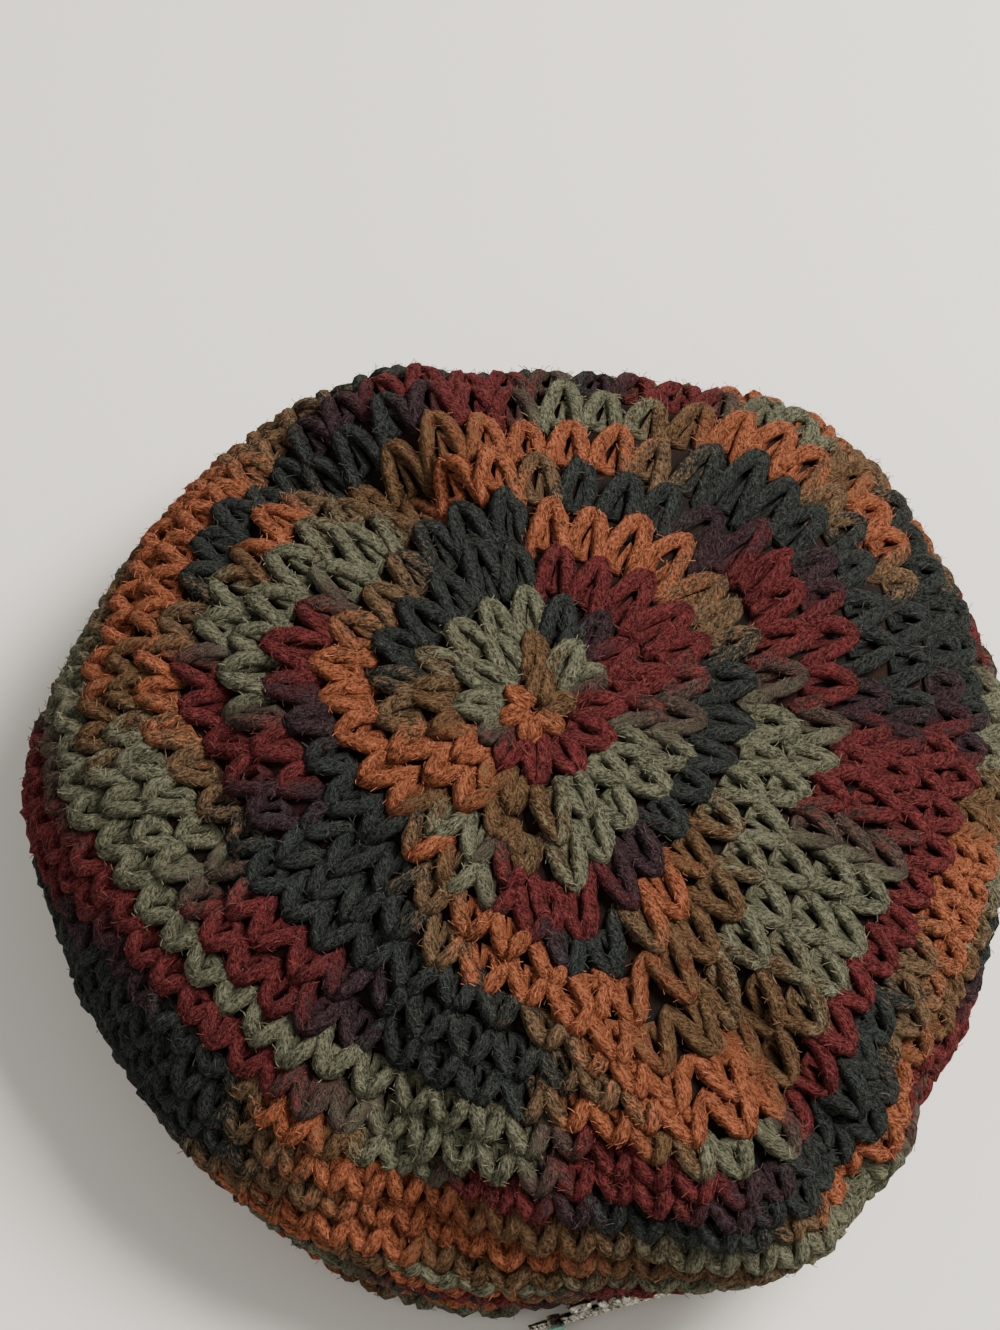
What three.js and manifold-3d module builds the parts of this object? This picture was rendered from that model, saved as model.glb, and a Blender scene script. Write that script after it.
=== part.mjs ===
import * as THREE from "three";
import { mergeVertices } from "three/addons/utils/BufferGeometryUtils.js";
import Module from "manifold-3d";

// A slouchy crochet beret worked in rounds from the middle of its crown, resting on its head band,
// with a small metal spray brooch pinned on the front of the band.
// Lengths are millimetres and angles are degrees. +Z is up, -Y is the front, and 0 degrees is +X.

// Sizes of the crocheted body, measured on its outer face.
const CROWN_RADIUS = 131; // the widest part of the crown, before the corners are drawn in or out
const BAND_RADIUS = 87; // the head band
const BAND_HEIGHT = 24; // from the resting edge to the underside of the crown
const PUFF_HEIGHT = 56; // from the underside to the top of the crown
const BAND_FORWARD = 43; // how far the crown slouches back from the band
const WALL = 4.8; // thickness of the crochet
const CENTRE_HOLE_RADIUS = 1.6; // what the drawn-in first round leaves open
const FOLD_DEPTH = 11; // the deepest crease
const GAP = 0.3; // between pieces that meet

// How the rounds lie over the form. Halfway down they have slid outwards, most of all at the back, so that
// more of them turn under there.
const FRONT_SLIDE = 0.5; // rounds
const BACK_SLIDE = 5.9; // rounds
const MOST_SLID_ROUND = 10.25;
const DRIFT_ROUND = 9; // where the corner angles are read

const ANGLE_STEPS = 80;

// Each row is a section of the form, counted in rounds. crown and band are shares of their radii and add up,
// puff and drop are shares of PUFF_HEIGHT and BAND_HEIGHT, forward is a share of BAND_FORWARD, and corner
// is how much of the six-cornered outline shows.
const SECTIONS = [
  { round: 0, crown: 0, band: 0, puff: 0.975, drop: 1, forward: 0, corner: 0 },
  { round: 1, crown: 0.072, band: 0, puff: 0.99, drop: 1, forward: 0, corner: 0.2 },
  { round: 3, crown: 0.225, band: 0, puff: 1, drop: 1, forward: 0, corner: 0.8 },
  { round: 6, crown: 0.452, band: 0, puff: 0.976, drop: 1, forward: 0, corner: 0.9 },
  { round: 9, crown: 0.672, band: 0, puff: 0.903, drop: 1, forward: 0, corner: 0.85 },
  { round: 12, crown: 0.868, band: 0, puff: 0.734, drop: 1, forward: 0, corner: 0.7 },
  { round: 14, crown: 0.967, band: 0, puff: 0.556, drop: 1, forward: 0, corner: 0.55 },
  { round: 15.5, crown: 1, band: 0, puff: 0.363, drop: 1, forward: 0.05, corner: 0.45 },
  { round: 17, crown: 0.9, band: 0.1, puff: 0.225, drop: 1, forward: 0.2, corner: 0.3 },
  { round: 19, crown: 0.5, band: 0.48, puff: 0.125, drop: 1, forward: 0.6, corner: 0.1 },
  { round: 20.5, crown: 0.1, band: 0.9, puff: 0.03, drop: 0.98, forward: 0.94, corner: 0 },
  { round: 21.5, crown: 0, band: 1, puff: 0, drop: 0.68, forward: 1, corner: 0 },
  { round: 23.5, crown: 0, band: 1, puff: 0, drop: 0, forward: 1, corner: 0 },
];

// The six lines of increases swirl outwards. angle is where a line crosses DRIFT_ROUND, swirl is how many
// degrees it turns for each doubling of its radius, and reach is its corner's share of the radius.
const CORNERS = [
  { angle: 11, swirl: 18, reach: 0.85 },
  { angle: 47, swirl: 15, reach: 0.92 },
  { angle: 123, swirl: 20, reach: 0.83 },
  { angle: 182, swirl: 13, reach: 0.91 },
  { angle: 226, swirl: 25, reach: 0.82 },
  { angle: 301, swirl: 11, reach: 1.15 },
];
const STRAIGHTNESS = 0.8; // 0 is a round outline and 1 has straight sides between the corners
const CORNER_ROUNDING = 0.3; // share of a side over which its corner is rounded
const VALLEY_DEPTH = 3; // along each line of increases
const VALLEY_WIDTH = 13;

// Creases and ridges of the slouched crown. Each runs between two places, given as a share of CROWN_RADIUS
// and an angle. width is a share of CROWN_RADIUS and depth a share of FOLD_DEPTH, negative for a ridge.
const FOLDS = [
  { from: 0.79, fromAngle: 140, to: 0.56, toAngle: 123, width: 0.085, depth: 1 },
  { from: 0.48, fromAngle: 108, to: 0.86, toAngle: 115, width: 0.075, depth: -0.36 },
  { from: 0.44, fromAngle: 46, to: 0.61, toAngle: 57, width: 0.08, depth: 0.62 },
  { from: 0.7, fromAngle: 312, to: 1.02, toAngle: 313, width: 0.07, depth: 0.9 },
  { from: 0.9, fromAngle: 326, to: 1.05, toAngle: 327, width: 0.07, depth: 0.4 },
  { from: 0.76, fromAngle: 257, to: 0.9, toAngle: 265, width: 0.1, depth: 0.5 },
  { from: 0.61, fromAngle: 188, to: 0.65, toAngle: 213, width: 0.07, depth: 0.45 },
  { from: 0.45, fromAngle: 225, to: 0.63, toAngle: 247, width: 0.1, depth: 0.4 },
  { from: 0.47, fromAngle: 7, to: 0.68, toAngle: 12, width: 0.09, depth: 0.3 },
];
const FOLDS_END_ROUND = 17.5; // creases fade out before this round

// Sizes of the brooch. Its own X runs along the band, Y is up and Z points out of the band.
const BROOCH_LENGTH = 53;
const BROOCH_RISE = 17.5; // from its lowest edge to the top of its tallest finial
const BROOCH_METAL = 2.6; // thickness of its bars
const BROOCH_ANGLE = 22; // how far round the band it is pinned, from the front towards +X
const BROOCH_SHIFT = 10; // its middle lies this far along from the pinned place
const BROOCH_CLEARANCE = 0.8; // its lowest edge over the resting plane
const STONE_RADIUS = 2.6;
const BEAD_RADIUS = 1.7;
const BEAD_COUNT = 5;
const BAR_SIDES = 8;
const PIN_RADIUS = 0.6;
const PIN_DEPTH = 2.4; // how deep the pin runs inside the crochet at its middle

const radians = THREE.MathUtils.degToRad;

// A smooth value of one column between the sections, with no overshoot.
function sectionValue(column, round) {
  const rows = SECTIONS;
  const last = rows.length - 1;
  const at = THREE.MathUtils.clamp(round, rows[0].round, rows[last].round);
  let i = 0;
  while (i < last - 1 && at >= rows[i + 1].round) i += 1;
  const slope = (k) => (rows[k + 1][column] - rows[k][column]) / (rows[k + 1].round - rows[k].round);
  const tangent = (k) => {
    if (k === 0) return slope(0);
    if (k === last) return slope(last - 1);
    const before = slope(k - 1);
    const after = slope(k);
    if (before * after <= 0) return 0;
    const spanBefore = rows[k].round - rows[k - 1].round;
    const spanAfter = rows[k + 1].round - rows[k].round;
    return (spanBefore + spanAfter) / (spanBefore / before + spanAfter / after);
  };
  const span = rows[i + 1].round - rows[i].round;
  const s = (at - rows[i].round) / span;
  const start = rows[i][column] * (1 + 2 * s) * (1 - s) ** 2 + tangent(i) * span * s * (1 - s) ** 2;
  const end = rows[i + 1][column] * s * s * (3 - 2 * s) + tangent(i + 1) * span * s * s * (s - 1);
  return start + end;
}

// The band ends level, so that it rests flat.
const LAST_ROUND = SECTIONS[SECTIONS.length - 1].round;

// The section of the form that a round reaches at an angle.
function sectionAt(round, angle) {
  const backness = ((1 + Math.sin(radians(angle))) / 2) ** 1.5;
  const most = THREE.MathUtils.lerp(FRONT_SLIDE, BACK_SLIDE, backness);
  const past = (round - MOST_SLID_ROUND) / (LAST_ROUND - MOST_SLID_ROUND);
  const share = past < 0 ? round / MOST_SLID_ROUND : 1 + past;
  return round + most * Math.sin((Math.PI / 2) * THREE.MathUtils.clamp(share, 0, 2)) ** 2;
}

const FIRST_CORNER_ROUND = 3;
const LAST_CORNER_ROUND = 15.5;
const driftRadius = sectionValue("crown", DRIFT_ROUND);

// The angles of the six lines of increases at one section.
function cornerAngles(section) {
  const at = THREE.MathUtils.clamp(section, FIRST_CORNER_ROUND, LAST_CORNER_ROUND);
  const doublings = Math.log2(sectionValue("crown", at) / driftRadius);
  return CORNERS.map((corner) => corner.angle + corner.swirl * doublings);
}

// The outline's factor on the radius, and the angle to the nearest line of increases.
function outline(section, angle) {
  const angles = cornerAngles(section);
  let factor = 1;
  let nearest = 180;
  angles.forEach((start, k) => {
    const next = (k + 1) % angles.length;
    const span = THREE.MathUtils.euclideanModulo(angles[next] - start, 360);
    const along = THREE.MathUtils.euclideanModulo(angle - start, 360);
    nearest = Math.min(nearest, along, 360 - along);
    if (along > span) return;
    const a = CORNERS[k].reach;
    const b = CORNERS[next].reach;
    const chord = (a * b * Math.sin(radians(span)))
      / (a * Math.sin(radians(along)) + b * Math.sin(radians(span - along)));
    const share = along / span;
    const arc = THREE.MathUtils.lerp(a, b, THREE.MathUtils.smoothstep(share, 0, 1));
    const offCorner = THREE.MathUtils.smoothstep(Math.min(share, 1 - share), 0, CORNER_ROUNDING);
    factor = THREE.MathUtils.lerp(arc, chord, STRAIGHTNESS * offCorner);
  });
  return { factor, nearest };
}

// A point of the undented form.
function formPoint(round, angle) {
  const section = sectionAt(round, angle);
  const { factor } = outline(section, angle);
  const shape = 1 + (factor - 1) * sectionValue("corner", section);
  const crownPart = sectionValue("crown", section) * CROWN_RADIUS;
  const bandPart = sectionValue("band", section) * BAND_RADIUS;
  const radius = (crownPart + bandPart) * shape;
  return new THREE.Vector3(
    radius * Math.cos(radians(angle)),
    radius * Math.sin(radians(angle)) - sectionValue("forward", section) * BAND_FORWARD,
    sectionValue("puff", section) * PUFF_HEIGHT + sectionValue("drop", section) * BAND_HEIGHT,
  );
}

// The outward direction of a surface that a point function gives.
function outward(pointAt, round, angle) {
  const alongRound = pointAt(round + 0.05, angle).sub(pointAt(round - 0.05, angle));
  const alongAngle = pointAt(round, angle + 0.5).sub(pointAt(round, angle - 0.5));
  return alongRound.cross(alongAngle).normalize();
}

function polar(share, angle) {
  return new THREE.Vector2(share * CROWN_RADIUS, 0).rotateAround(new THREE.Vector2(), radians(angle));
}

// How far creases and valleys press the form in at a place.
function pressedIn(point, round, angle) {
  const section = sectionAt(round, angle);
  const { nearest } = outline(section, angle);
  const place = new THREE.Vector2(point.x, point.y);
  const acrossValley = radians(nearest) * place.length();
  const valleyStart = THREE.MathUtils.smoothstep(section, 1, 5);
  const valleyEnd = 1 - THREE.MathUtils.smoothstep(section, LAST_CORNER_ROUND - 1.5, LAST_CORNER_ROUND + 0.5);
  let depth = VALLEY_DEPTH * valleyStart * valleyEnd * Math.exp(-((acrossValley / VALLEY_WIDTH) ** 2));
  const foldFade = 1 - THREE.MathUtils.smoothstep(section, LAST_CORNER_ROUND, FOLDS_END_ROUND);
  for (const fold of FOLDS) {
    const start = polar(fold.from, fold.fromAngle);
    const run = polar(fold.to, fold.toAngle).sub(start);
    const share = THREE.MathUtils.clamp(place.clone().sub(start).dot(run) / run.lengthSq(), 0, 1);
    const distance = place.distanceTo(start.addScaledVector(run, share));
    const across = distance / (fold.width * CROWN_RADIUS);
    depth += FOLD_DEPTH * fold.depth * foldFade * Math.exp(-(across ** 2));
  }
  return depth;
}

// A point of the outer face, creases included.
function outerPoint(round, angle) {
  const point = formPoint(round, angle);
  const depth = pressedIn(point, round, angle);
  return point.addScaledVector(outward(formPoint, round, angle), -depth);
}

// A closed solid from a function that gives point (i, j) of a grid that wraps both ways. The last row of
// faces is split along its other diagonal, so that two rings that meet have matching ends.
function wrappedSolid(rows, columns, pointAt) {
  const positions = [];
  const index = [];
  for (let i = 0; i < rows; i += 1) {
    for (let j = 0; j < columns; j += 1) positions.push(...pointAt(i, j).toArray());
  }
  for (let i = 0; i < rows; i += 1) {
    for (let j = 0; j < columns; j += 1) {
      const a = i * columns + j;
      const b = ((i + 1) % rows) * columns + j;
      const c = ((i + 1) % rows) * columns + ((j + 1) % columns);
      const d = i * columns + ((j + 1) % columns);
      if (i < rows - 1) index.push(a, b, c, a, c, d);
      else index.push(a, b, d, b, c, d);
    }
  }
  const geometry = new THREE.BufferGeometry();
  geometry.setAttribute("position", new THREE.Float32BufferAttribute(positions, 3));
  geometry.setIndex(index);
  return geometry;
}

// A ring of crochet between two rounds, WALL thick. An end that meets the next ring is drawn back
// by half a gap.
function crochetRing(firstRound, lastRound, steps, drawnBack) {
  const rounds = Array.from(
    { length: steps + 1 },
    (_, i) => THREE.MathUtils.lerp(firstRound, lastRound, i / steps),
  );
  const rows = 2 * rounds.length;
  return wrappedSolid(rows, ANGLE_STEPS, (i, j) => {
    const angle = (360 * j) / ANGLE_STEPS;
    const inner = i >= rounds.length;
    const row = inner ? rows - 1 - i : i;
    const round = rounds[row];
    const point = outerPoint(round, angle);
    if (inner) point.addScaledVector(outward(formPoint, round, angle), -WALL);
    const onwards = formPoint(round + 0.05, angle).sub(formPoint(round - 0.05, angle)).normalize();
    if (row === 0 && drawnBack.start) point.addScaledVector(onwards, GAP / 2);
    if (row === steps && drawnBack.end) point.addScaledVector(onwards, -GAP / 2);
    return point;
  });
}

// The first round starts where the form is as wide as the centre hole.
const holeRound = CENTRE_HOLE_RADIUS / (SECTIONS[1].crown * CROWN_RADIUS);

const wasm = await Module();
wasm.setup();

function toSolid(geometry) {
  const bare = geometry.clone();
  bare.deleteAttribute("normal");
  bare.deleteAttribute("uv");
  const merged = mergeVertices(bare, 1e-4);
  return new wasm.Manifold(new wasm.Mesh({
    numProp: 3,
    vertProperties: new Float32Array(merged.attributes.position.array),
    triVerts: new Uint32Array(merged.index.array),
  }));
}

function toGeometry(solid) {
  const mesh = solid.getMesh();
  const geometry = new THREE.BufferGeometry();
  geometry.setAttribute("position", new THREE.BufferAttribute(new Float32Array(mesh.vertProperties), 3));
  geometry.setIndex(new THREE.BufferAttribute(new Uint32Array(mesh.triVerts), 1));
  return geometry;
}

function joined(geometries) {
  return geometries.map(toSolid).reduce((whole, piece) => whole.add(piece));
}

// A straight round bar between two points, which may taper.
function bar(start, end, startRadius, endRadius) {
  const run = end.clone().sub(start);
  const geometry = new THREE.CylinderGeometry(endRadius, startRadius, run.length(), BAR_SIDES);
  geometry.applyQuaternion(new THREE.Quaternion().setFromUnitVectors(
    new THREE.Vector3(0, 1, 0),
    run.clone().normalize(),
  ));
  return geometry.translate(...start.clone().addScaledVector(run, 0.5).toArray());
}

// The brooch's frame of reference, its origin under the middle of its lowest edge, on its back plane.
const up = new THREE.Vector3(0, 0, 1);
const broochDirection = new THREE.Vector3(1, 0, 0).applyAxisAngle(up, radians(BROOCH_ANGLE));
const broochOut = broochDirection.clone().cross(up);
const broochFrame = new THREE.Matrix4().makeBasis(broochDirection, up, broochOut);
broochFrame.setPosition(
  new THREE.Vector3(0, -BAND_FORWARD, BROOCH_CLEARANCE)
    .addScaledVector(broochOut, BAND_RADIUS + GAP)
    .addScaledVector(broochDirection, BROOCH_SHIFT),
);

const half = BROOCH_LENGTH / 2;
const at = (x, y, z) => new THREE.Vector3(x, y, z);
const front = BROOCH_METAL / 2 + GAP;
const thin = BROOCH_METAL * 0.32;
const stemPoints = [
  at(-half, 0.16 * BROOCH_RISE, front),
  at(-0.55 * half, 0.24 * BROOCH_RISE, front),
  at(0, 0.4 * BROOCH_RISE, front),
  at(0.4 * half, 0.42 * BROOCH_RISE, front),
  at(0.78 * half, 0.22 * BROOCH_RISE, front),
];
const stoneSeat = at(-0.76 * half, 0.22 * BROOCH_RISE, front + BROOCH_METAL / 2);
const pinEnds = [stemPoints[1].clone().setZ(-PIN_DEPTH), stemPoints[3].clone().setZ(-PIN_DEPTH)];

// The stem is a curved bar that tapers to both ends.
function stem() {
  const curve = new THREE.CatmullRomCurve3(stemPoints);
  const forward = new THREE.Vector3(0, 0, 1);
  const rings = 14;
  const sides = 8;
  const positions = [];
  const index = [];
  for (let i = 0; i <= rings; i += 1) {
    const share = i / rings;
    const up = forward.clone().cross(curve.getTangent(share)).normalize();
    const radius = (BROOCH_METAL / 2) * (0.55 + 0.75 * Math.sin(Math.PI * share));
    const depth = Math.min(radius, BROOCH_METAL / 2);
    for (let k = 0; k < sides; k += 1) {
      const turn = (2 * Math.PI * k) / sides;
      const point = curve.getPoint(share)
        .addScaledVector(up, radius * Math.cos(turn))
        .addScaledVector(forward, depth * Math.sin(turn));
      positions.push(...point.toArray());
    }
  }
  for (let i = 0; i < rings; i += 1) {
    for (let k = 0; k < sides; k += 1) {
      const a = i * sides + k;
      const b = i * sides + ((k + 1) % sides);
      index.push(a, b + sides, a + sides, a, b, b + sides);
    }
  }
  const lastRing = rings * sides;
  for (let k = 1; k < sides - 1; k += 1) {
    index.push(0, k + 1, k);
    index.push(lastRing, lastRing + k, lastRing + k + 1);
  }
  const geometry = new THREE.BufferGeometry();
  geometry.setAttribute("position", new THREE.Float32BufferAttribute(positions, 3));
  geometry.setIndex(index);
  return geometry;
}

function ball(place, radius) {
  return new THREE.SphereGeometry(radius, 8, 6).translate(...place.toArray());
}

// The posts run back from the stem to the pin's two ends, clear of the pin by a gap.
function pinPosts(radius, extra) {
  const run = pinEnds[1].clone().sub(pinEnds[0]).normalize();
  return pinEnds.map((end, k) => {
    const outer = end.clone().addScaledVector(run, (k === 0 ? -1 : 1) * (PIN_RADIUS + GAP));
    return bar(outer.clone().setZ(front), outer.clone().setZ(-PIN_DEPTH - radius - extra), radius, radius);
  });
}

// The frame of the brooch is soldered into one solid.
function broochSolid() {
  const ringCentre = at(-0.52 * half, 0.7 * BROOCH_RISE, front);
  const ringRadius = BROOCH_METAL * 0.85;
  const ring = new THREE.TorusGeometry(ringRadius, thin, 6, 12).translate(...ringCentre.toArray());
  const ringFoot = ringCentre.clone().setY(ringCentre.y - ringRadius);
  const beadStart = at(-0.3 * half, 0.66 * BROOCH_RISE, front);
  const beadEnd = at(0.14 * half, 0.72 * BROOCH_RISE, front);
  const beads = Array.from(
    { length: BEAD_COUNT },
    (_, i) => ball(beadStart.clone().lerp(beadEnd, i / (BEAD_COUNT - 1)), BEAD_RADIUS),
  );
  const polishedStart = at(-0.12 * half, 0.5 * BROOCH_RISE, front);
  const polishedEnd = at(0.36 * half, 0.54 * BROOCH_RISE, front);
  const cup = new THREE.CylinderGeometry(STONE_RADIUS * 0.8, STONE_RADIUS * 0.7, BROOCH_METAL, 12)
    .rotateX(Math.PI / 2)
    .translate(stoneSeat.x, stoneSeat.y, front);
  const postTop = at(0.43 * half, BROOCH_RISE - BEAD_RADIUS, front);
  const twigTip = at(half - thin * 2, 0.76 * BROOCH_RISE, front);
  return joined([
    stem(),
    bar(at(0.3 * half, 0.4 * BROOCH_RISE, front), twigTip, thin * 1.5, thin),
    ball(twigTip, thin * 2),
    bar(stemPoints[3], postTop, thin * 1.6, thin * 1.2),
    ball(postTop, BEAD_RADIUS),
    bar(stemPoints[1], ringFoot, thin, thin),
    ring,
    ...beads,
    bar(at(beadStart.x, 0.3 * BROOCH_RISE, front), beadStart, thin, thin),
    bar(at(beadEnd.x, 0.4 * BROOCH_RISE, front), beadEnd, thin, thin),
    bar(polishedStart, polishedEnd, thin * 1.4, thin * 1.4),
    cup,
    ...pinPosts(PIN_RADIUS, 0),
  ]);
}

// A round stone with a flat table, cut sides and a short seat.
function stoneSolid() {
  const height = STONE_RADIUS * 0.75;
  const profile = [
    [0, 0],
    [STONE_RADIUS * 0.8, 0],
    [STONE_RADIUS, height * 0.35],
    [STONE_RADIUS * 0.62, height],
    [0, height],
  ].map(([x, y]) => new THREE.Vector2(x, y));
  return new THREE.LatheGeometry(profile, 10).rotateX(Math.PI / 2)
    .translate(stoneSeat.x, stoneSeat.y, stoneSeat.z + GAP);
}

function pinSolid() {
  return bar(pinEnds[0], pinEnds[1], PIN_RADIUS, PIN_RADIUS);
}

// What the pin and its posts leave open in the band.
function pinWay() {
  const run = pinEnds[1].clone().sub(pinEnds[0]).setLength(2 * (PIN_RADIUS + GAP));
  const width = PIN_RADIUS + 1.3 * GAP;
  const way = bar(pinEnds[0].clone().sub(run), pinEnds[1].clone().add(run), width, width);
  return joined([way, ...pinPosts(width, GAP)].map((geometry) => geometry.applyMatrix4(broochFrame)));
}

// The stretches of rounds, from the middle of the crown to the resting edge. end is a stretch's last round
// and steps is its rows of facets.
const STRETCHES = [
  { name: "crown_centre", end: 5, steps: 5, color: 0x5a3a2e },
  { name: "crown_outer", end: 10, steps: 5, color: 0x6a3f2e },
  { name: "crown_side", end: 14.5, steps: 5, color: 0x5d4a35 },
  { name: "underside", end: 20.6, steps: 6, color: 0x3c3f38 },
  { name: "head_band", end: LAST_ROUND, steps: 4, color: 0x6d3a2a },
];

const metal = new THREE.MeshStandardMaterial({ color: 0xb9b4a6, roughness: 0.3, metalness: 1 });
const glass = new THREE.MeshStandardMaterial({ color: 0x7fb5a0, roughness: 0.1, metalness: 0 });

function piece(name, geometry, material) {
  const mesh = new THREE.Mesh(geometry, material);
  mesh.name = name;
  return mesh;
}

const beret = new THREE.Group();

STRETCHES.forEach(({ name, end, steps, color }, k) => {
  const first = k === 0;
  const last = k === STRETCHES.length - 1;
  const start = first ? holeRound : STRETCHES[k - 1].end;
  const ring = crochetRing(start, end, steps, { start: !first, end: !last });
  const geometry = last ? toGeometry(toSolid(ring).subtract(pinWay())) : ring;
  const wool = new THREE.MeshStandardMaterial({ color, roughness: 0.95, metalness: 0 });
  beret.add(piece(name, geometry, wool));
});
beret.add(piece("brooch_frame", toGeometry(broochSolid()).applyMatrix4(broochFrame), metal));
beret.add(piece("brooch_stone", stoneSolid().applyMatrix4(broochFrame), glass));
beret.add(piece("brooch_pin", pinSolid().applyMatrix4(broochFrame), metal));

// The origin is under the middle of the whole, on the plane that it rests on.
const bounds = new THREE.Box3().setFromObject(beret);
const middle = bounds.getCenter(new THREE.Vector3());
beret.position.set(-middle.x, -middle.y, -bounds.min.z);
beret.updateMatrixWorld(true);

export default beret;
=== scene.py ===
# %% [markdown]
# # A crochet beret in bulky wool
#
# The beret is worked in rounds from the middle of its crown. Every stitch of the fabric shows as a fat V of
# yarn, so the yarn is what this script builds: one path for each round, zigzagging over the soft form of the
# beret, swept into a thick strand and covered in loose fibres. A small metal spray brooch sits on the band.
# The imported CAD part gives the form, its place and its size. Here it is dressed.

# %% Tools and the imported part
import math

import bmesh
import bpy
import numpy as np
from mathutils import Matrix, Vector


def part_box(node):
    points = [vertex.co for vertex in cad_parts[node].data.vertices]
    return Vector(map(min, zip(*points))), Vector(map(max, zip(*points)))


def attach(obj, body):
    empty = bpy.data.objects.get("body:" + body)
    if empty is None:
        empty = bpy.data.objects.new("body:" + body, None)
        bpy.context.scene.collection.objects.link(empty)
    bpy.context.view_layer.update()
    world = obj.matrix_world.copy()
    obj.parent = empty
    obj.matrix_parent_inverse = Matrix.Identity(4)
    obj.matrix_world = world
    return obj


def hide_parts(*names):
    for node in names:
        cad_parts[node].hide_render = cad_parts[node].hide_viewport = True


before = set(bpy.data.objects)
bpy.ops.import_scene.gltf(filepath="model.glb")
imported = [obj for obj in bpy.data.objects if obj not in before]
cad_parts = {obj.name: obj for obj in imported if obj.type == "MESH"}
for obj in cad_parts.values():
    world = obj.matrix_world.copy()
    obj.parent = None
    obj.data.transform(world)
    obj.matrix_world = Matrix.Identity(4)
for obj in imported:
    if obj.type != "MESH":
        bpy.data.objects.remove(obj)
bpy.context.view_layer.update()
MM = 0.001
print("nodes:", sorted(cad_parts))

# %% [markdown]
# ## The form that the rounds lie on
#
# The real beret is a soft bag with a six-sided swirling top that slouches behind its band. The solids are built
# on a formula, so the same formula is used here and each stitch can be put on it exactly. It takes a place in
# rounds from the middle and an angle, and gives a point of the outer face. The sizes are millimetres, in the
# part's own design, and one shift brings them to the frame.

# %% Sizes and sections of the form
CROWN_RADIUS = 131
BAND_RADIUS = 87
BAND_HEIGHT = 24
PUFF_HEIGHT = 56
BAND_FORWARD = 43
FOLD_DEPTH = 11
FRONT_SLIDE = 0.5
BACK_SLIDE = 5.9
BACK_SHARPNESS = 1.5
MOST_SLID_ROUND = 10.25
LAST_ROUND = 23.5

# round, crown radius, band radius, puff, drop, forward, how much of the corners shows
SECTIONS = np.array([
    (0, 0, 0, 0.975, 1, 0, 0),
    (1, 0.072, 0, 0.99, 1, 0, 0.2),
    (3, 0.225, 0, 1, 1, 0, 0.8),
    (6, 0.452, 0, 0.976, 1, 0, 0.9),
    (9, 0.672, 0, 0.903, 1, 0, 0.85),
    (12, 0.868, 0, 0.734, 1, 0, 0.7),
    (14, 0.967, 0, 0.556, 1, 0, 0.55),
    (15.5, 1, 0, 0.363, 1, 0.05, 0.45),
    (17, 0.9, 0.1, 0.225, 1, 0.2, 0.3),
    (19, 0.5, 0.48, 0.125, 1, 0.6, 0.1),
    (20.5, 0.1, 0.9, 0.03, 0.98, 0.94, 0),
    (21.5, 0, 1, 0, 0.68, 1, 0),
    (23.5, 0, 1, 0, 0, 1, 0),
])
CROWN, BAND, PUFF, DROP, FORWARD, CORNER = range(1, 7)

# angle at round 9, degrees of swirl for each doubling of the radius, reach
CORNERS = [(11, 18, 0.85), (47, 15, 0.92), (123, 20, 0.83), (182, 13, 0.91), (226, 25, 0.82), (301, 11, 1.15)]
DRIFT_ROUND = 9
FIRST_CORNER_ROUND = 3
LAST_CORNER_ROUND = 15.5
STRAIGHTNESS = 0.8
CORNER_ROUNDING = 0.3
VALLEY_DEPTH = 3
VALLEY_WIDTH = 13
VALLEY_STARTS = (1, 5)
VALLEY_ENDS = (14, 16)

# Creases: from (share of the crown's radius, angle) to (share, angle), width, depth. A negative depth is a ridge.
FOLDS = [
    (0.79, 140, 0.56, 123, 0.085, 1),
    (0.48, 108, 0.86, 115, 0.075, -0.36),
    (0.44, 46, 0.61, 57, 0.08, 0.62),
    (0.7, 312, 1.02, 313, 0.07, 0.9),
    (0.9, 326, 1.05, 327, 0.07, 0.4),
    (0.76, 257, 0.9, 265, 0.1, 0.5),
    (0.61, 188, 0.65, 213, 0.07, 0.45),
    (0.45, 225, 0.63, 247, 0.1, 0.4),
    (0.47, 7, 0.68, 12, 0.09, 0.3),
]
FOLDS_END_ROUND = 17.5


# %% From a round and an angle to a point
ROUND_STEP = 0.05
ANGLE_STEP = 0.5


def smoothstep(x, low, high):
    share = np.clip((x - low) / (high - low), 0, 1)
    return share * share * (3 - 2 * share)


def section_value(column, place):
    """A column of SECTIONS, smooth between its rows and without overshoot."""
    x, y = SECTIONS[:, 0], SECTIONS[:, column]
    gap = np.diff(x)
    slope = np.diff(y) / gap
    tangent = np.zeros(len(x))
    tangent[0], tangent[-1] = slope[0], slope[-1]
    for i in range(1, len(x) - 1):
        if slope[i - 1] * slope[i] > 0:
            tangent[i] = (gap[i - 1] + gap[i]) / (gap[i - 1] / slope[i - 1] + gap[i] / slope[i])
    at = np.clip(place, x[0], x[-1])
    i = np.clip(np.searchsorted(x, at, side="right") - 1, 0, len(gap) - 1)
    s = (at - x[i]) / gap[i]
    start = y[i] * (1 + 2 * s) * (1 - s) ** 2 + tangent[i] * gap[i] * s * (1 - s) ** 2
    end = y[i + 1] * s * s * (3 - 2 * s) + tangent[i + 1] * gap[i] * s * s * (s - 1)
    return start + end


def section_at(place, angle):
    """Halfway down the rounds have slid outwards, most of all at the back, so they reach a later section."""
    backness = ((1 + np.sin(np.radians(angle))) / 2) ** BACK_SHARPNESS
    most = FRONT_SLIDE + (BACK_SLIDE - FRONT_SLIDE) * backness
    past = (place - MOST_SLID_ROUND) / (LAST_ROUND - MOST_SLID_ROUND)
    share = np.where(past < 0, place / MOST_SLID_ROUND, 1 + past)
    return place + most * np.sin(np.pi / 2 * np.clip(share, 0, 2)) ** 2


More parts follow.
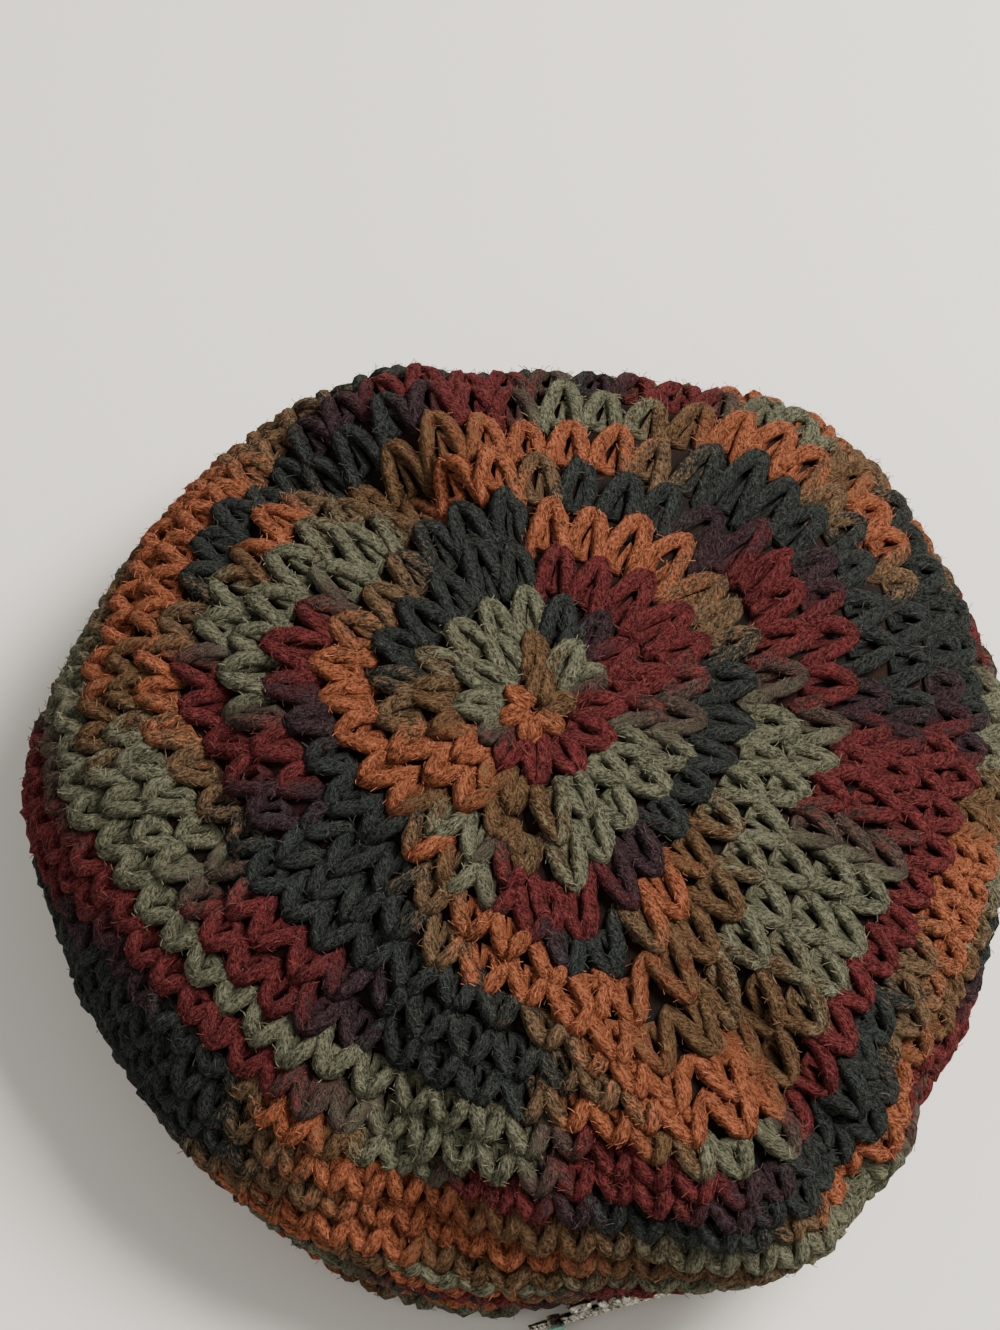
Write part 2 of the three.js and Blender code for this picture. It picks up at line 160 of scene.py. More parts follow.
def corner_angles(section):
    """Where the six lines of increases have swirled to."""
    at = np.clip(section, FIRST_CORNER_ROUND, LAST_CORNER_ROUND)
    doublings = np.log2(section_value(CROWN, at) / section_value(CROWN, np.array(DRIFT_ROUND)))
    return [angle + swirl * doublings for angle, swirl, _ in CORNERS]


def outline(section, angle):
    """The outline's factor on the radius, and the angle to the nearest line of increases."""
    lines = corner_angles(section)
    factor, nearest = np.ones_like(angle), np.full_like(angle, 180)
    for k, line in enumerate(lines):
        following = (k + 1) % len(lines)
        span = (lines[following] - line) % 360
        along = (angle - line) % 360
        nearest = np.minimum(nearest, np.minimum(along, 360 - along))
        a, b = CORNERS[k][2], CORNERS[following][2]
        inside = along <= span
        reach = a * np.sin(np.radians(along)) + b * np.sin(np.radians(span - along))
        chord = a * b * np.sin(np.radians(span)) / np.where(inside, reach, 1)
        share = along / span
        arc = a + (b - a) * smoothstep(share, 0, 1)
        off_corner = smoothstep(np.minimum(share, 1 - share), 0, CORNER_ROUNDING)
        factor = np.where(inside, arc + (chord - arc) * STRAIGHTNESS * off_corner, factor)
    return factor, nearest


def form_point(place, angle):
    """A point of the form before anything is pressed into it."""
    section = section_at(place, angle)
    shape = 1 + (outline(section, angle)[0] - 1) * section_value(CORNER, section)
    radius = (section_value(CROWN, section) * CROWN_RADIUS + section_value(BAND, section) * BAND_RADIUS) * shape
    x = radius * np.cos(np.radians(angle))
    y = radius * np.sin(np.radians(angle)) - section_value(FORWARD, section) * BAND_FORWARD
    z = section_value(PUFF, section) * PUFF_HEIGHT + section_value(DROP, section) * BAND_HEIGHT
    return np.stack([x, y, z], axis=-1)


def outward(place, angle):
    """The direction out of the form, from short steps along it."""
    along_round = form_point(place + ROUND_STEP, angle) - form_point(place - ROUND_STEP, angle)
    along_angle = form_point(place, angle + ANGLE_STEP) - form_point(place, angle - ANGLE_STEP)
    normal = np.cross(along_round, along_angle)
    return normal / np.linalg.norm(normal, axis=-1, keepdims=True)


def crease_end(share, angle):
    return CROWN_RADIUS * share * np.array([math.cos(math.radians(angle)), math.sin(math.radians(angle))])


def pressed_in(point, place, angle):
    """How deep the form is pressed in, by the lines of increases and by the creases."""
    section = section_at(place, angle)
    x, y = point[..., 0], point[..., 1]
    across = np.radians(outline(section, angle)[1]) * np.hypot(x, y)
    ends = smoothstep(section, *VALLEY_STARTS) * (1 - smoothstep(section, *VALLEY_ENDS))
    depth = VALLEY_DEPTH * ends * np.exp(-((across / VALLEY_WIDTH) ** 2))
    fade = 1 - smoothstep(section, LAST_CORNER_ROUND, FOLDS_END_ROUND)
    for start, start_angle, end, end_angle, width, share_of_depth in FOLDS:
        a, b = crease_end(start, start_angle), crease_end(end, end_angle)
        run = b - a
        share = np.clip(((x - a[0]) * run[0] + (y - a[1]) * run[1]) / (run @ run), 0, 1)
        distance = np.hypot(x - a[0] - share * run[0], y - a[1] - share * run[1])
        reach = width * CROWN_RADIUS
        depth = depth + FOLD_DEPTH * share_of_depth * fade * np.exp(-((distance / reach) ** 2))
    return depth


def outer_point(place, angle):
    point = form_point(place, angle)
    return point - outward(place, angle) * pressed_in(point, place, angle)[..., None]


# %% Where the design lies in the frame
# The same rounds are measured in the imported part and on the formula, and the difference is the shift.
CROWN_SIDE_ENDS = (10, 14.5)
MEASURED_ANGLES = 80
side_low, side_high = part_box("crown_side")
every_angle = np.arange(MEASURED_ANGLES) * 360 / MEASURED_ANGLES
side_rounds, side_angles = np.meshgrid(np.linspace(*CROWN_SIDE_ENDS, 6), every_angle)
side_points = outer_point(side_rounds.ravel(), side_angles.ravel())
middle_in_frame = (np.array(side_low[:2]) + np.array(side_high[:2])) / 2
middle_in_design = (side_points[:, :2].min(axis=0) + side_points[:, :2].max(axis=0)) / 2
SHIFT = np.array([*(middle_in_frame / MM - middle_in_design), 0])
print("shift in millimetres:", SHIFT.round(2))


def in_frame(points):
    """Design millimetres to frame metres."""
    return (np.asarray(points, float) + SHIFT) * MM


# %% [markdown]
# ## Small helpers for nodes
#
# Materials and Geometry Nodes are both trees of nodes. One class wraps a number that varies over a surface, so
# that it can be written as plain arithmetic. A second adds a node from its type, its settings and its inputs, and
# has short forms for a noise, a colour ramp and the shader that ends a material.

# %% A value in a tree, and the tree
class Value:
    """A varying number in a tree. Arithmetic on it adds Math nodes."""

    def __init__(self, tree, socket):
        self.tree = tree
        self.socket = socket

    def _with(self, operation, *values):
        inputs = dict(enumerate(values))
        kind = self.tree.math_kind
        return self.tree.value(self.tree.node(kind, {"operation": operation}, inputs))

    def __add__(self, other):
        return self._with("ADD", self, other)

    def __radd__(self, other):
        return self._with("ADD", other, self)

    def __sub__(self, other):
        return self._with("SUBTRACT", self, other)

    def __rsub__(self, other):
        return self._with("SUBTRACT", other, self)

    def __mul__(self, other):
        return self._with("MULTIPLY", self, other)

    def __rmul__(self, other):
        return self._with("MULTIPLY", other, self)

    def __truediv__(self, other):
        return self._with("DIVIDE", self, other)

    def sine(self):
        return self._with("SINE", self)

    def cosine(self):
        return self._with("COSINE", self)

    def fraction(self):
        return self._with("FRACT", self)

    def above(self, other):
        return self._with("GREATER_THAN", self, other)

    def clipped(self, low, high):
        return self._with("MINIMUM", self._with("MAXIMUM", self, low), high)


class Tree:
    """One node tree. node() takes a node's type, then its settings, then its sockets' values or links."""

    math_kind = "ShaderNodeMath"

    def __init__(self, tree):
        self.tree = tree

    def node(self, kind, settings=None, inputs=None):
        made = self.tree.nodes.new(kind)
        for name, setting in (settings or {}).items():
            if name == "stops":
                self.set_stops(made.color_ramp, setting)
            else:
                setattr(made, name, setting)
        for name, given in (inputs or {}).items():
            source = given.socket if isinstance(given, Value) else given
            if isinstance(source, bpy.types.NodeSocket):
                self.tree.links.new(source, made.inputs[name])
            else:
                made.inputs[name].default_value = source
        return made

    def value(self, node, output=0):
        return Value(self, node.outputs[output])

    def noise(self, vector, scale, detail=2.0, roughness=0.5):
        made = self.node("ShaderNodeTexNoise", inputs={
            "Vector": vector, "Scale": scale, "Detail": detail, "Roughness": roughness,
        })
        return self.value(made, "Fac")

    def ramp(self, stops, factor):
        return self.node("ShaderNodeValToRGB", {"stops": stops}, {"Fac": factor}).outputs["Color"]

    def skin(self, inputs):
        """Ends a material's tree with one shader."""
        made = self.node("ShaderNodeBsdfPrincipled", inputs=inputs)
        self.node("ShaderNodeOutputMaterial", inputs={"Surface": made.outputs[0]})

    @staticmethod
    def set_stops(ramp, stops):
        while len(ramp.elements) > 1:
            ramp.elements.remove(ramp.elements[-1])
        ramp.elements[0].position, ramp.elements[0].color = stops[0]
        for position, color in stops[1:]:
            ramp.elements.new(position).color = color


def new_material(name):
    """A material with nothing in its tree, and the tree."""
    material = bpy.data.materials.new(name)
    material.use_nodes = True
    material.node_tree.nodes.clear()
    return material, Tree(material.node_tree)


def in_scene(name, data):
    """An object for a mesh, a light or a camera, in the scene."""
    made = bpy.data.objects.new(name, data)
    bpy.context.scene.collection.objects.link(made)
    return made


def linear(hex_color, strength=1.0):
    """A colour given as a hex number, as the linear numbers that a shader takes."""
    parts = [(hex_color >> shift & 255) / 255 for shift in (16, 8, 0)]
    straight = [p / 12.92 if p <= 0.04045 else ((p + 0.055) / 1.055) ** 2.4 for p in parts]
    return (*[p * strength for p in straight], 1.0)


# %% [markdown]
# ## The wool
#
# The yarn is dyed in a repeat of eight lengths, which come round every 21 stitches or so: charcoal, tan, orange,
# brown, sage, grey, brick red and plum. It is heathered, so every tuft is a little lighter or darker than the
# next and some fibres are pale, and it is plied from four strands that show as slanting ridges. The repeat is a
# colour ramp read along the yarn. The plies are a wave that turns round the strand as it goes, and the tufts and
# fibres are noises that turn with them.

# %% Wool colours and material
PLY_LENGTH = 9.5
PLIES = 4
NOISE_AROUND = 2.6
NOISE_ALONG = 0.75
SOFT_SCALE = 0.35
TUFT_SCALE = 1.3
FIBRE_SCALE = 4.6

# share of the repeat where a colour starts and ends, and the colour
DYED_LENGTHS = [
    (0.02, 0.22, 0x2D3331),
    (0.25, 0.29, 0x735A40),
    (0.33, 0.45, 0xA55E3E),
    (0.48, 0.53, 0x6F5236),
    (0.57, 0.71, 0x73735C),
    (0.73, 0.75, 0x54443C),
    (0.78, 0.91, 0x6C2427),
    (0.94, 0.97, 0x38222A),
]


def dye_stops(strength=1.0):
    return [(place, linear(color, strength)) for start, end, color in DYED_LENGTHS for place in (start, end)]


def wool_material():
    material, tree = new_material("wool")
    along_repeat = tree.value(tree.node("ShaderNodeAttribute", {"attribute_name": "repeat"}), "Fac")
    place = tree.node("ShaderNodeSeparateXYZ", inputs={
        "Vector": tree.node("ShaderNodeUVMap", {"uv_map": "UVMap"}).outputs["UV"],
    })
    run, around = tree.value(place, "X"), tree.value(place, "Y")

    twist = 2 * math.pi * (around + run / (PLY_LENGTH * PLIES))
    lengthwise = tree.node("ShaderNodeCombineXYZ", inputs={
        "X": twist.cosine() * NOISE_AROUND, "Y": twist.sine() * NOISE_AROUND, "Z": run * NOISE_ALONG,
    }).outputs[0]
    soft = tree.noise(lengthwise, SOFT_SCALE)
    tufts = tree.noise(lengthwise, TUFT_SCALE, 3.0, 0.75)
    fibres = tree.noise(lengthwise, FIBRE_SCALE, 3.0, 0.75)

    wandering = along_repeat + (soft - 0.5) * 0.09 + (tufts - 0.5) * 0.12
    dyed = tree.ramp(dye_stops(), wandering.fraction())
    heather = ((tufts - 0.5) * 6.5 + (fibres - 0.5) * 3.0 + (soft - 0.5) * 1.6 + 1.1).clipped(0.3, 2.6)
    heathered = tree.node("ShaderNodeMix", {"data_type": "RGBA", "blend_type": "MULTIPLY"}, {
        "Factor": 1.0, 6: dyed, 7: tree.node("ShaderNodeCombineColor", inputs={
            "Red": heather, "Green": heather, "Blue": heather,
        }).outputs[0],
    }).outputs[2]
    pale = ((fibres - 0.5) * 3.0 + (tufts - 0.5) * 1.5).clipped(0.0, 0.2)
    with_pale_fibres = tree.node("ShaderNodeMix", {"data_type": "RGBA"}, {
        "Factor": pale, 6: heathered, 7: linear(0x8E887C),
    }).outputs[2]

    plies = (twist * PLIES).sine() * 0.5 + 0.5
    bump = tree.node("ShaderNodeBump", inputs={
        "Strength": 1.0, "Distance": 0.0016, "Height": plies * 0.25 + tufts * 2.2 + fibres * 1.2,
    }).outputs[0]
    tree.skin({"Base Color": with_pale_fibres, "Roughness": 0.95, "Normal": bump, "Specular IOR Level": 0.1})
    return material


wool = wool_material()
print("wool: a repeat of", len(DYED_LENGTHS), "colours")

# %% [markdown]
# ## Where each stitch goes
#
# Six increases in each round make the crown flat, so the rounds hold 6, 12, 18 stitches and so on. One hand works
# them all at one tension, so they share the length of their round equally, and each round starts a little further
# on than the last. Along one line of increases the stitches pull apart and leave small holes.
#
# Which colour falls where is chance on the real beret, so it is charted: how far each round is into the
# colour repeat as it passes the back, the left, the front, the right and the back again. The front is charted
# more closely, because it shows.

# %% Rounds and stitches
# A row for each round: how many repeats of colour it is into the yarn at the back, the left, the front left, the
# front, the front right, the right and the back again. Where a row falls, the repeat runs backwards.
COLOUR_ANGLES = (90, 180, 225, 270, 315, 360, 450)
ROUND_COLOURS = [
    (0.34, 0.37, 0.39, 0.41, 0.44, 0.49, 0.50),
    (0.60, 0.66, 0.74, 0.84, 0.86, 0.88, 0.50),
    (0.64, 0.52, 0.42, 0.50, 0.62, 0.72, 1.08),
    (0.04, 0.24, 0.40, 0.52, 0.62, 0.72, 0.90),
    (0.10, 0.36, 0.45, 0.80, 0.98, 1.14, 1.42),
    (0.22, 0.92, 1.12, 1.80, 2.45, 2.64, 3.15),
    (0.40, 0.66, 1.12, 1.38, 1.50, 1.66, 2.40),
    (0.62, 1.80, 2.06, 2.36, 2.55, 2.84, 3.64),
    (0.70, 1.34, 1.16, 1.20, 1.50, 1.84, 3.00),
    (0.05, 0.50, 0.80, 1.14, 1.50, 1.84, 2.60),
    (0.10, 0.45, 0.82, 1.12, 1.84, 1.86, 2.90),
    (0.20, 0.58, 0.68, 0.64, 1.08, 1.50, 2.50),
    (0.30, 0.70, 0.86, 0.64, 1.16, 1.48, 2.50),
    (0.30, 0.74, 1.00, 1.80, 2.40, 2.60, 3.30),
    (0.20, 0.70, 1.12, 1.46, 1.66, 2.20, 2.90),
    (0.50, 1.00, 1.12, 1.40, 1.60, 2.10, 2.90),
    (0.60, 1.00, 1.14, 1.50, 1.64, 2.20, 3.00),
    (0.90, 1.75, 2.18, 2.62, 3.06, 3.50, 4.35),
    (0.80, 1.60, 2.00, 2.40, 2.80, 3.20, 4.00),
    (0.40, 1.10, 1.47, 1.84, 2.20, 2.55, 3.25),
    (0.80, 1.45, 1.78, 2.12, 2.44, 2.75, 3.40),
    (0.10, 0.75, 1.08, 1.40, 1.72, 2.05, 2.70),
    (0.30, 0.95, 1.28, 1.62, 1.94, 2.25, 2.90),
]
LAST_INCREASE = 14
LAST_EVEN = 16
BAND_STITCHES = 54
BAND_STARTS = 20
BAND_STRETCH = 0.094
HOLE_LINE = 5
HOLE_LINE_NEAR = 280.0
HOLE_ROUNDS = range(3, 12)
HOLE_SPREAD = 0.13
ROUND_DRIFT = 0.37
BACK = 90
STRETCHES = [
    ("crown_centre", 1, 5),
    ("crown_outer", 6, 10),
    ("crown_side", 11, 14),
    ("underside", 15, 20),
    ("head_band", 21, 23),
]


def stitch_count(number):
    if number <= LAST_EVEN:
        return 6 * min(number, LAST_INCREASE)
    return max(6 * LAST_INCREASE - 6 * (number - LAST_EVEN), BAND_STITCHES)


def tip_place(number):
    """Where the tips of a round's stitches lie. The last rounds stretch a little, down to the resting edge."""
    return number + BAND_STRETCH * max(0, number - BAND_STARTS)


def stitch_angles(number):
    """Each stitch's middle and width in degrees, counted on from the back."""
    count = stitch_count(number)
    place = tip_place(number) - 0.5
    angles = np.linspace(BACK, BACK + 360, 721)
    steps = np.diff(form_point(np.full_like(angles, place), angles), axis=0)
    run = np.concatenate([[0], np.cumsum(np.linalg.norm(steps, axis=1))])
    ends = (np.arange(count + 1) + (ROUND_DRIFT * number) % 1) / count
    edges = np.interp(ends % 1, run / run[-1], angles) + 360 * np.floor(ends)
    middle, width = (edges[1:] + edges[:-1]) / 2, np.diff(edges)
    if number in HOLE_ROUNDS:
        line = corner_angles(section_at(place, np.array(HOLE_LINE_NEAR)))[HOLE_LINE]
        after = int(np.argmax(middle > line))
        middle[after] += HOLE_SPREAD * width[after]
        middle[after - 1] -= HOLE_SPREAD * width[after - 1]
    return middle, width


print("stitches:", sum(stitch_count(k + 1) for k in range(len(ROUND_COLOURS))))

# %% [markdown]
# ## The path of the yarn
#
# A stitch shows as a V with its closed end outwards: the yarn comes up from under the round before, bulges over,
# dips at the tip, and goes back over itself and down. Written once as a few points across, along and over the
# fabric, it is repeated for every stitch with small differences, as hands make them.

# %% One stitch, and a round of them
YARN_RADIUS = 2.15
INSIDE_YARN_RADIUS = 2.0
CLEAR_OF_FLOOR = 0.5
CENTRE_HOLE = 0.34

# across and along are shares of the stitch's width and the round's height, over is millimetres from the face
STITCH = np.array([
    (-0.50, -0.74, -3.6),
    (-0.42, -0.50, -2.6),
    (-0.30, -0.12, -1.2),
    (-0.16, 0.20, -1.3),
    (0.02, 0.42, -2.2),
    (0.16, 0.24, -1.0),
    (0.30, -0.12, -0.9),
    (0.43, -0.50, -2.5),
])
BACK_STRAND = np.array([
    (-0.50, -0.62, -3.4),
    (-0.30, -0.20, -3.0),
    (-0.06, 0.02, -2.9),
    (-0.06, -0.50, -2.9),
    (0.16, -0.52, -3.0),
    (0.24, 0.02, -3.1),
])
# The yarn is thicker where a stitch has more room than usual, and thinner where it has less.
USUAL_WIDTH = 10.5
USUAL_HEIGHT = 9.5
THICKNESS_POWER = 0.45
THINNEST, THICKEST = 0.8, 1.2
# How much one stitch differs from the next, as a share of the stitch. Outwards the share is multiplied by
# these millimetres.
FRONT_JITTER = 0.085
INSIDE_JITTER = 0.02
JITTER_OUTWARDS = 4

# The brooch's own X runs along the band, Y is up and Z points out of the band, as in the part.
BROOCH_LENGTH = 53
BROOCH_RISE = 17.5
BROOCH_METAL = 2.6
BROOCH_ANGLE = math.radians(22)
BROOCH_ALONG = np.array([math.cos(BROOCH_ANGLE), math.sin(BROOCH_ANGLE), 0])
BROOCH_OUT = np.array([math.sin(BROOCH_ANGLE), -math.cos(BROOCH_ANGLE), 0])
BROOCH_PLACE = np.array([0, -BAND_FORWARD, 0.8]) + BROOCH_OUT * (BAND_RADIUS + 0.3) + BROOCH_ALONG * 10
BROOCH_PRESSES = 1.9
PRESSED_BESIDE = 8
PRESSED_BEHIND = 30


def distance(place_a, angle_a, place_b, angle_b):
    return np.linalg.norm(form_point(place_a, angle_a) - form_point(place_b, angle_b), axis=-1)


def pressed_by_brooch(points):
    """How far the wool gives way behind the brooch."""
    along = np.abs((points - BROOCH_PLACE) @ BROOCH_ALONG)
    out = (points - BROOCH_PLACE) @ BROOCH_OUT
    beside = 1 - smoothstep(along, BROOCH_LENGTH / 2, BROOCH_LENGTH / 2 + PRESSED_BESIDE)
    above = 1 - smoothstep(points[:, 2], BROOCH_RISE, BROOCH_RISE + PRESSED_BESIDE)
    return BROOCH_PRESSES * beside * above * (out > -PRESSED_BEHIND)


def round_of_stitches(number, pattern, jitter, seed):
    """Points, thickness, outward directions and colour of one round, a row for each stitch."""
    chance = np.random.default_rng(seed * 100 + number)
    middle, turn = stitch_angles(number)
    count = len(middle)
    across = pattern[None, :, 0] * (1 + jitter * chance.normal(size=(count, 1)))
    across = across + jitter * 0.5 * chance.normal(size=(count, 1))
    along = pattern[None, :, 1] + jitter * chance.normal(size=(count, 1))
    over = pattern[None, :, 2] + JITTER_OUTWARDS * jitter * chance.normal(size=(count, 1))
    angle = (middle[:, None] + across * turn[:, None]).ravel()
    place = np.maximum((tip_place(number) - 0.5 + along).ravel(), CENTRE_HOLE)
    normal = outward(place, angle)
    surface = outer_point(place, angle)
    points = surface + normal * (over.ravel() - pressed_by_brooch(surface))[:, None]
    width = distance(place, angle, place, angle + np.repeat(turn, pattern.shape[0]))
    height = distance(place - 0.5, angle, place + 0.5, angle)
    room = width * height / (USUAL_WIDTH * USUAL_HEIGHT)
    thickness = np.clip(room ** THICKNESS_POWER, THINNEST, THICKEST)
    points[:, 2] = np.maximum(points[:, 2], YARN_RADIUS * thickness + CLEAR_OF_FLOOR)
    repeat = np.interp(angle, COLOUR_ANGLES, ROUND_COLOURS[number - 1])
    return points, thickness, normal, repeat


def path_object(name, numbers, pattern, jitter, seed):
    """A mesh of bare edges, one line for each round, which the yarn is swept along."""
    lines, edges, made_points = [], [], 0
    for number in numbers:
        values = round_of_stitches(number, pattern, jitter, seed)
        # The line ends where it started, tucked under the round before.
        points, thickness, normal, repeat = [np.concatenate([v, v[:1]]) for v in values]
        repeat[-1] = repeat[-2]
        run = np.concatenate([[0], np.cumsum(np.linalg.norm(np.diff(points, axis=0), axis=1))])
        edges += [(made_points + i, made_points + i + 1) for i in range(len(points) - 1)]
        made_points += len(points)
        lines.append((points, thickness, normal, repeat, run))
    points, thickness, normal, repeat, run = [np.concatenate(column) for column in zip(*lines)]
    mesh = bpy.data.meshes.new(name)
    mesh.from_pydata(in_frame(points).tolist(), edges, [])
    for attribute, values in (("repeat", repeat), ("run", run), ("thickness", thickness)):
        mesh.attributes.new(attribute, "FLOAT", "POINT").data.foreach_set("value", values)
    mesh.attributes.new("face_out", "FLOAT_VECTOR", "POINT").data.foreach_set("vector", normal.ravel())
    return in_scene(name, mesh)


# %% [markdown]
# ## Sweeping the yarn
#
# A strand that follows a path is what Geometry Nodes do best. The tree turns the edges into smooth curves and
# sweeps a ring along them. It also writes a UV map, with millimetres along the yarn and the share of a turn
# around it, which the wool's plies follow. The ring closes on itself, so the last face of each turn is given 1
# in place of 0.

# %% The tree that sweeps yarn
LUMP_SCALE = 520.0


def geometry_tree(name, sockets):
    group = bpy.data.node_groups.new(name, "GeometryNodeTree")
    group.interface.new_socket("Geometry", in_out="INPUT", socket_type="NodeSocketGeometry")
    for socket, kind in sockets:
        group.interface.new_socket(socket, in_out="INPUT", socket_type=kind)
    group.interface.new_socket("Geometry", in_out="OUTPUT", socket_type="NodeSocketGeometry")
    tree = Tree(group)
    return tree, tree.node("NodeGroupInput"), tree.node("NodeGroupOutput")


def yarn_tree():
    tree, given, result = geometry_tree("sweep_yarn", [
        ("Radius", "NodeSocketFloat"), ("Sides", "NodeSocketInt"), ("Steps", "NodeSocketInt"),
        ("Lumps", "NodeSocketFloat"), ("Material", "NodeSocketMaterial"),
    ])
    curve = tree.node("GeometryNodeMeshToCurve", inputs={"Mesh": given.outputs["Geometry"]}).outputs[0]
    curve = tree.node("GeometryNodeCurveSplineType", {"spline_type": "CATMULL_ROM"}, {"Curve": curve}).outputs[0]
    curve = tree.node("GeometryNodeSetSplineResolution", inputs={
        "Geometry": curve, "Resolution": given.outputs["Steps"],
    }).outputs[0]
    thickness = tree.node("GeometryNodeInputNamedAttribute", {"data_type": "FLOAT"}, {"Name": "thickness"})
    curve = tree.node("GeometryNodeSetCurveRadius", inputs={
        "Curve": curve, "Radius": thickness.outputs[0],
    }).outputs[0]
    ring = tree.node("GeometryNodeCurvePrimitiveCircle", {"mode": "RADIUS"}, {
        "Resolution": given.outputs["Sides"], "Radius": given.outputs["Radius"],
    }).outputs[0]
    turn = tree.node("GeometryNodeCaptureAttribute", {"domain": "POINT"}, {"Geometry": ring})
    turn.capture_items.new("FLOAT", "Turn")
    tree.tree.links.new(tree.node("GeometryNodeSplineParameter").outputs["Factor"], turn.inputs["Turn"])
    strand = tree.node("GeometryNodeCurveToMesh", inputs={
        "Curve": curve, "Profile Curve": turn.outputs["Geometry"], "Fill Caps": True,
    }).outputs[0]
    around = tree.value(turn, "Turn")
    of_face = tree.value(tree.node("GeometryNodeFieldOnDomain", {"domain": "FACE", "data_type": "FLOAT"}, {
        "Value": around.socket,
    }))
    closing = of_face.above(0.3) * (0.01 - around).above(0)
    run = tree.node("GeometryNodeInputNamedAttribute", {"data_type": "FLOAT"}, {"Name": "run"}).outputs[0]
    strand = tree.node("GeometryNodeStoreNamedAttribute", {"data_type": "FLOAT2", "domain": "CORNER"}, {
        "Geometry": strand, "Name": "UVMap",
        "Value": tree.node("ShaderNodeCombineXYZ", inputs={"X": run, "Y": around + closing}).outputs[0],
    }).outputs[0]
    noise = tree.value(tree.node("ShaderNodeTexNoise", inputs={"Scale": LUMP_SCALE, "Detail": 1.0}), "Fac")
    lump = tree.node("ShaderNodeVectorMath", {"operation": "SCALE"}, {
        0: tree.node("GeometryNodeInputNormal").outputs[0],
        "Scale": (noise - 0.5) * Value(tree, given.outputs["Lumps"]),
    }).outputs[0]
    strand = tree.node("GeometryNodeSetPosition", inputs={"Geometry": strand, "Offset": lump}).outputs[0]
    strand = tree.node("GeometryNodeSetShadeSmooth", inputs={"Geometry": strand}).outputs[0]
    strand = tree.node("GeometryNodeRealizeInstances", inputs={"Geometry": strand}).outputs[0]
    strand = tree.node("GeometryNodeSetMaterial", inputs={
        "Geometry": strand, "Material": given.outputs["Material"],
    }).outputs[0]
    tree.tree.links.new(strand, result.inputs["Geometry"])
    return tree.tree


def made_by(tree, source, name, **values):
    """Runs a tree on an object and keeps the result as a plain mesh in its place."""
    modifier = source.modifiers.new(tree.name, "NODES")
    modifier.node_group = tree
    for item in tree.interface.items_tree:
        if item.in_out == "INPUT" and item.name.lower() in values:
            modifier[item.identifier] = values[item.name.lower()]
    evaluated = source.evaluated_get(bpy.context.evaluated_depsgraph_get())
    mesh = bpy.data.meshes.new_from_object(evaluated)
    mesh.name = name
    source.modifiers.remove(modifier)
    return in_scene(name, mesh)


def triangles(piece):
    piece.data.calc_loop_triangles()
    return len(piece.data.loop_triangles)


sweep_yarn = yarn_tree()

# %% [markdown]
# ## The five stretches of crochet
#
# Each stretch of rounds stands for one solid of the part. The front of the fabric is the zigzag of stitches and
# its inside is a looser zigzag of thinner strands.

# %% Yarn of each stretch
def yarn_piece(name, numbers, pattern, jitter, seed, **strand):
    """The yarn of some rounds, swept along its path."""
    path = path_object(name + "_path", numbers, pattern, jitter, seed)
    piece = made_by(sweep_yarn, path, name, material=wool, **strand)
    bpy.data.objects.remove(path)
    print(piece.name, triangles(piece), "triangles")
    return piece


crochet = []
for node, first, last in STRETCHES:
    piece = yarn_piece(node + "_stitches", range(first, last + 1), STITCH, FRONT_JITTER, 1,
                       radius=YARN_RADIUS * MM, sides=8, steps=2, lumps=2.0 * MM)
    crochet.append((node, piece))

back_strands = []
for node, first, last in STRETCHES:
    piece = yarn_piece(node + "_inside", range(first, last + 1), BACK_STRAND, INSIDE_JITTER, 2,
                       radius=INSIDE_YARN_RADIUS * MM, sides=6, steps=1, lumps=0.8 * MM)
    back_strands.append(piece)

# %% [markdown]
# ## Loose fibres
#
# Wool is never a clean strand: short fibres stand out of it all over, and they blur the edge of every stitch. The
# tree scatters points on the outer side of the yarn and puts a thin bent fibre on each, turned and sized at
# random from a fixed seed. The colour of the yarn below goes with each fibre.

